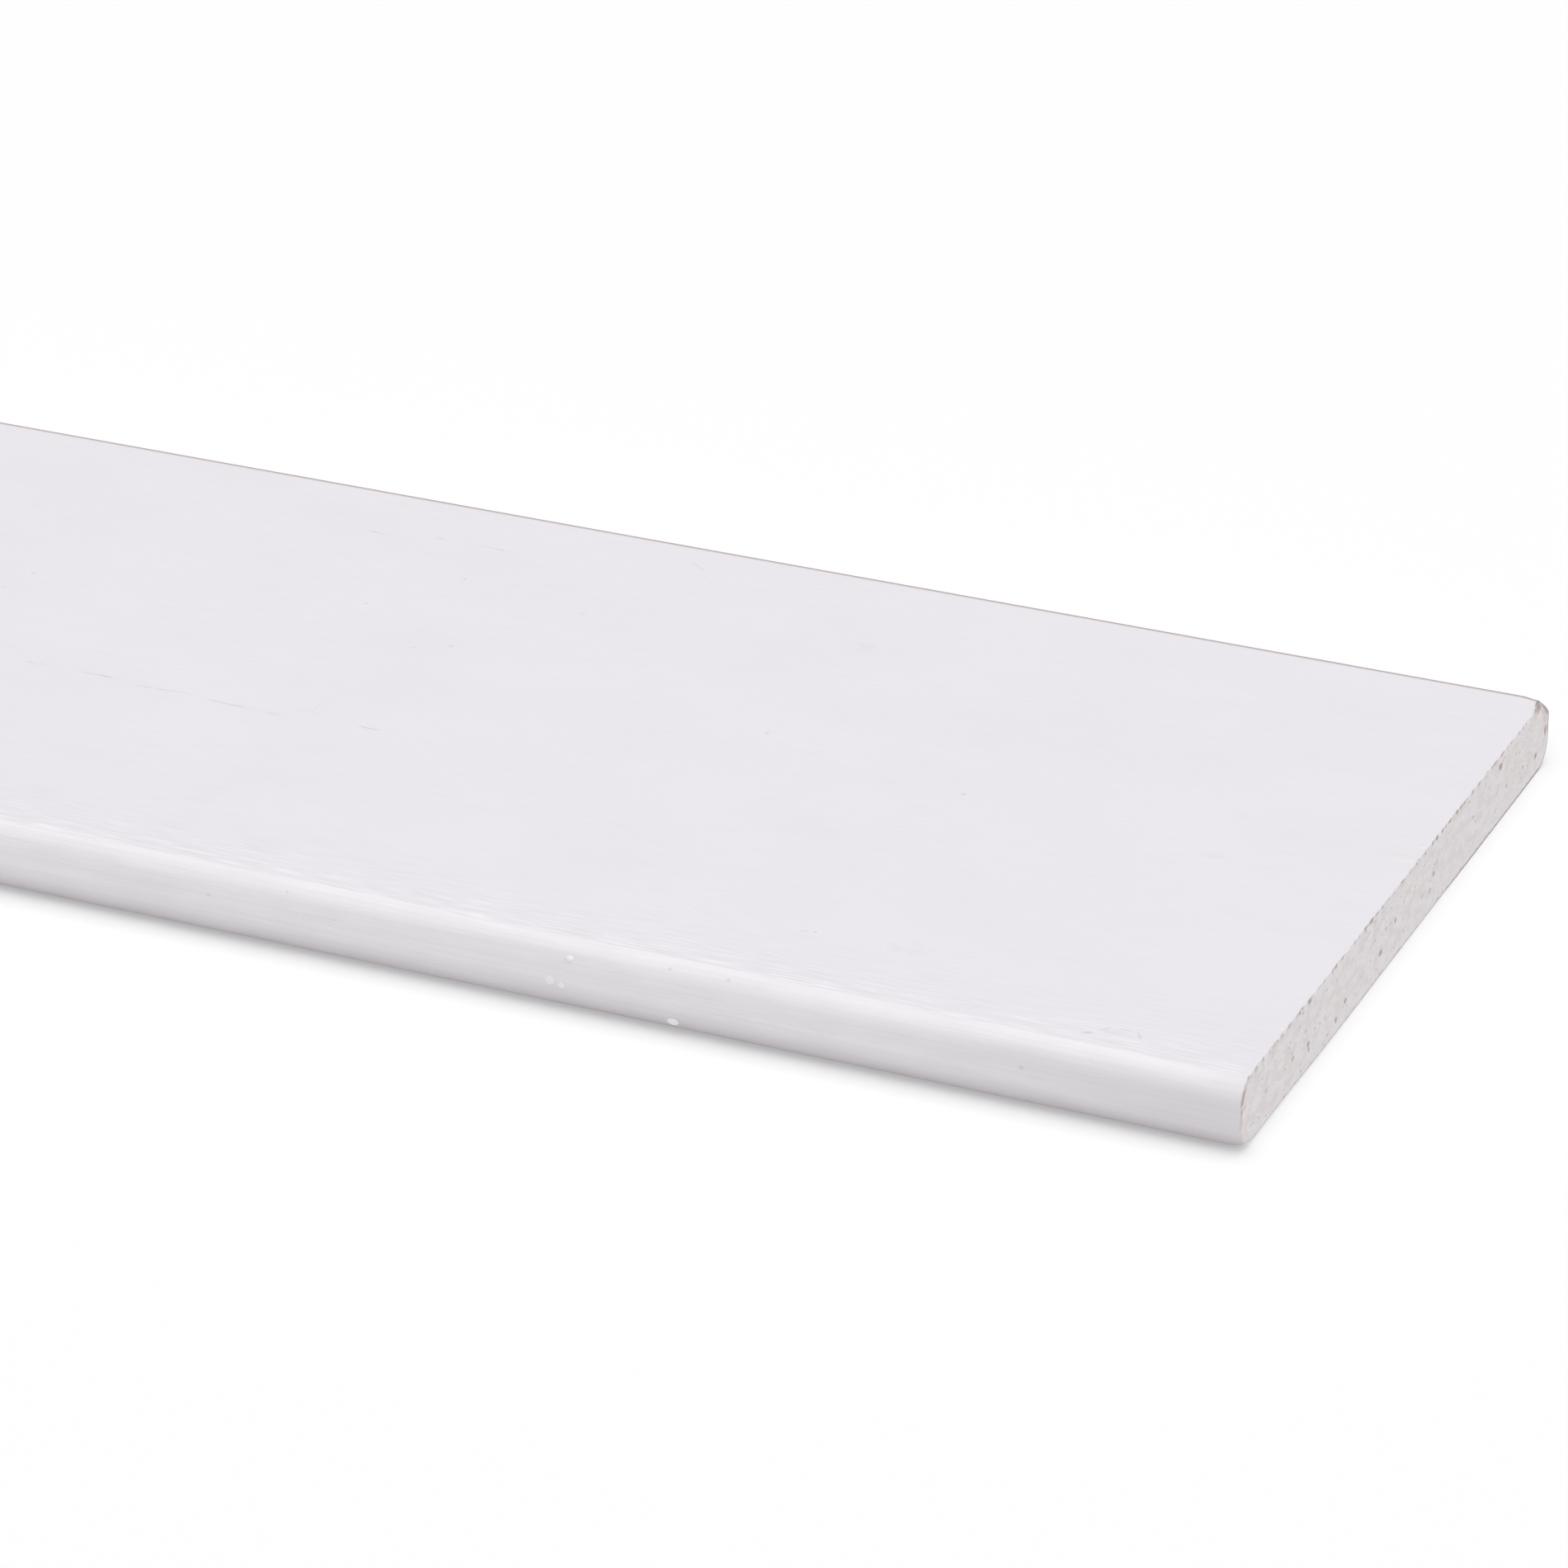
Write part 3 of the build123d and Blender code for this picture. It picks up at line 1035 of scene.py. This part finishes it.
# Flakes of primer on the arris of the shown end, in millimetres: from the end, across, length, width
ARRIS_FLAKES = (
    (1.30, 2.9, 2.4, 1.2),
    (0.40, 5.3, 0.7, 0.8),
    (0.25, -26.0, 0.4, 0.3),
)

# How deep the middles of the flakes and lips lie in the batten, and how far they stand up from there
FLAKE_SINK, FLAKE_HEIGHT = 0.03 * MM, 0.028 * MM
LIP_SINK, LIP_HEIGHT = 0.035 * MM, 0.03 * MM
# How far under the arris the lips hang, and the share of the width that they keep to
LIP_DROP = 0.03 * MM
LIP_SPAN = 0.95
ARRIS_LIP_SEED = 5


def add_lump(made, at, along, out, sizes):
    """Adds a closed rounded lump: its place, its long direction, its direction outward, half sizes."""
    aside = out.cross(along)
    turned = Matrix((along * sizes[0], aside * sizes[1], out * sizes[2])).transposed().to_4x4()
    bmesh.ops.create_icosphere(made, subdivisions=3, radius=1.0, matrix=Matrix.Translation(at) @ turned)


class BATTEN_OT_primer_nibs(Operator):
    """Sets the dried lumps and flakes of primer on the near edge and on the shown end's arris"""

    bl_idname = "batten.primer_nibs"
    bl_label = "Primer nibs"

    def execute(self, context):
        shape = context.scene.batten_shape
        made = bmesh.new()
        lengthwise, crosswise, upward = Vector((1, 0, 0)), Vector((0, 1, 0)), Vector((0, 0, 1))
        for from_end, share, length, width, height in EDGE_NIBS:
            inset, up, out, rise = edge_point(shape, share)
            station = Station(inset - HALF_WIDTH, up, -out, rise, NEAR_EDGE, share)
            at = place(shape, from_end * MM, station, 1.0)
            outward = Vector((0, -out, rise))
            add_lump(made, at, lengthwise, outward, (length * MM / 2, width * MM / 2, height * MM))
        for from_end, across, length, width in ARRIS_FLAKES:
            at = Vector((SHOWN_END - from_end * MM, across * MM, THICKNESS - FLAKE_SINK))
            add_lump(made, at, lengthwise, upward, (length * MM / 2, width * MM / 2, FLAKE_HEIGHT))
        draw = random.Random(ARRIS_LIP_SEED)
        for _ in range(shape.arris_lips):
            across = draw.uniform(-HALF_WIDTH, HALF_WIDTH) * LIP_SPAN
            high = draw.uniform(0.08, 0.16) * MM
            wide = draw.uniform(0.12, 0.4) * MM
            worn = worn_back(shape, 0.0, across, THICKNESS)
            up = THICKNESS - high - WORN_DROP * worn - LIP_DROP
            at = Vector((SHOWN_END - worn - LIP_SINK, across, up))
            add_lump(made, at, crosswise, lengthwise, (wide, high, LIP_HEIGHT))
        mesh = bpy.data.meshes.new("primer_nibs")
        made.to_mesh(mesh)
        made.free()
        mesh.materials.append(dried_primer_lump(context.scene.batten_finish))
        mesh.shade_smooth()
        link_piece("primer_nibs", mesh)
        return {"FINISHED"}


# The picture's width in pixels, and the width of the sensor that it stands for
FULL_FRAME = 1900
SENSOR_MM = 36.0
# Where the near top corner of the shown end lies in the picture, and how far off it is
CORNER_PIXEL = (1504.25, 1315.90)
CORNER_DISTANCE = 440.48 * MM
# The nearest and the furthest that the camera sees, in metres
CLIP_NEAR, CLIP_FAR = 0.02, 100.0
# How wide the floor is, and how far it lies under the batten
FLOOR_SIZE = 60.0
FLOOR_GAP = 0.05 * MM
WHITE = (1.0, 1.0, 1.0)


def add_floor(stage):
    """The plain pale floor under the batten: a frosted table top, dull and lit softly from below."""
    half = FLOOR_SIZE / 2
    corners = [(x, y, -FLOOR_GAP) for x, y in ((-half, -half), (half, -half), (half, half), (-half, half))]
    mesh = bpy.data.meshes.new("floor")
    mesh.from_pydata(corners, [], [(0, 1, 2, 3)])
    material, tree = new_material("frosted_table_top")
    looks = {"Base Color": opaque(stage.floor), "Roughness": 0.9}
    glow = {"Emission Color": opaque(WHITE), "Emission Strength": stage.floor_glow}
    shader = add(tree, "ShaderNodeBsdfPrincipled", {**looks, **glow})
    add(tree, "ShaderNodeOutputMaterial", {"Surface": shader})
    mesh.materials.append(material)
    floor = bpy.data.objects.new("floor", mesh)
    bpy.context.scene.collection.objects.link(floor)


def towards(azimuth, elevation):
    """The direction from the batten to something that stands round from the front, that high."""
    return Vector((
        math.sin(azimuth) * math.cos(elevation),
        -math.cos(azimuth) * math.cos(elevation),
        math.sin(elevation),
    ))


def add_light(stage):
    """Soft studio light: a wide one overhead, a faint one all round, a soft key in front, and a
    soft lamp beside the shown end."""
    world = bpy.data.worlds.new("soft_studio")
    bpy.context.scene.world = world
    world.use_nodes = True
    tree = world.node_tree
    tree.nodes.clear()
    direction = add(tree, "ShaderNodeTexCoord").outputs["Generated"]
    height = add(tree, "ShaderNodeSeparateXYZ", {"Vector": direction}).outputs["Z"]
    above = add(tree, "ShaderNodeMath", {0: height, 1: 0.0}, operation="MAXIMUM")
    overhead = add(tree, "ShaderNodeMath", {0: above, 1: stage.overhead_focus}, operation="POWER")
    strength = add(
        tree,
        "ShaderNodeMath",
        {0: overhead, 1: stage.overhead_light, 2: stage.room_light},
        operation="MULTIPLY_ADD",
    )
    light = add(tree, "ShaderNodeBackground", {"Color": opaque(WHITE), "Strength": strength})
    add(tree, "ShaderNodeOutputWorld", {"Surface": light})

    for name, strength, azimuth in (
        ("key", stage.key_light, stage.key_azimuth),
        ("side", stage.side_light, stage.side_azimuth),
    ):
        data = bpy.data.lights.new(name, "SUN")
        data.energy = strength
        data.angle = stage.softness
        lamp = bpy.data.objects.new(name, data)
        lamp.rotation_mode = "QUATERNION"
        lamp.rotation_quaternion = towards(azimuth, stage.lamp_elevation).to_track_quat("Z", "Y")
        bpy.context.scene.collection.objects.link(lamp)


def add_camera(stage):
    """The camera at the photograph's viewing angle."""
    azimuth, elevation, roll = stage.camera_azimuth, stage.camera_elevation, stage.camera_roll
    back = towards(azimuth, elevation)
    level_right = Vector((math.cos(azimuth), math.sin(azimuth), 0.0))
    level_up = back.cross(level_right)
    right = level_right * math.cos(roll) - level_up * math.sin(roll)
    up = level_up * math.cos(roll) + level_right * math.sin(roll)
    corner = Vector((SHOWN_END, -HALF_WIDTH, THICKNESS))
    size_at_corner = CORNER_DISTANCE * SENSOR_MM / stage.camera_lens / FULL_FRAME
    aim = (
        corner
        - right * (CORNER_PIXEL[0] - FULL_FRAME / 2) * size_at_corner
        + up * (CORNER_PIXEL[1] - FULL_FRAME / 2) * size_at_corner
    )
    data = bpy.data.cameras.new("camera")
    data.lens = stage.camera_lens
    data.sensor_width = SENSOR_MM
    data.clip_start = CLIP_NEAR
    data.clip_end = CLIP_FAR
    camera = bpy.data.objects.new("camera", data)
    turned = Matrix((right, up, back)).transposed().to_4x4()
    camera.matrix_world = Matrix.Translation(aim + back * CORNER_DISTANCE) @ turned
    bpy.context.scene.collection.objects.link(camera)
    bpy.context.scene.camera = camera


class BATTEN_OT_stage(Operator):
    """Sets the floor, the soft light and the camera"""

    bl_idname = "batten.stage"
    bl_label = "Stage"

    def execute(self, context):
        stage = context.scene.batten_stage
        add_floor(stage)
        add_light(stage)
        add_camera(stage)
        context.scene.view_settings.view_transform = "Standard"
        return {"FINISHED"}


class BATTEN_PT_sidebar(Panel):
    """The batten's sizes, colours and steps"""

    bl_idname = "BATTEN_PT_sidebar"
    bl_label = "Planed batten"
    bl_space_type = "VIEW_3D"
    bl_region_type = "UI"
    bl_category = "Batten"

    def draw(self, context):
        scene = context.scene
        for settings in (scene.batten_shape, scene.batten_finish, scene.batten_stage):
            box = self.layout.box()
            for name in settings.__annotations__:
                box.prop(settings, name)
        for step in STEPS:
            self.layout.operator(step.bl_idname)


STEPS = (BATTEN_OT_planed_stock, BATTEN_OT_primer_nibs, BATTEN_OT_stage)
CLASSES = (BattenShape, BattenFinish, BattenStage, *STEPS, BATTEN_PT_sidebar)


def register():
    for cls in CLASSES:
        bpy.utils.register_class(cls)
    bpy.types.Scene.batten_shape = PointerProperty(type=BattenShape)
    bpy.types.Scene.batten_finish = PointerProperty(type=BattenFinish)
    bpy.types.Scene.batten_stage = PointerProperty(type=BattenStage)


def unregister():
    del bpy.types.Scene.batten_stage
    del bpy.types.Scene.batten_finish
    del bpy.types.Scene.batten_shape
    for cls in reversed(CLASSES):
        bpy.utils.unregister_class(cls)


def main():
    register()
    bpy.ops.batten.planed_stock()
    bpy.ops.batten.primer_nibs()
    bpy.ops.batten.stage()


if __name__ == "__main__":
    main()
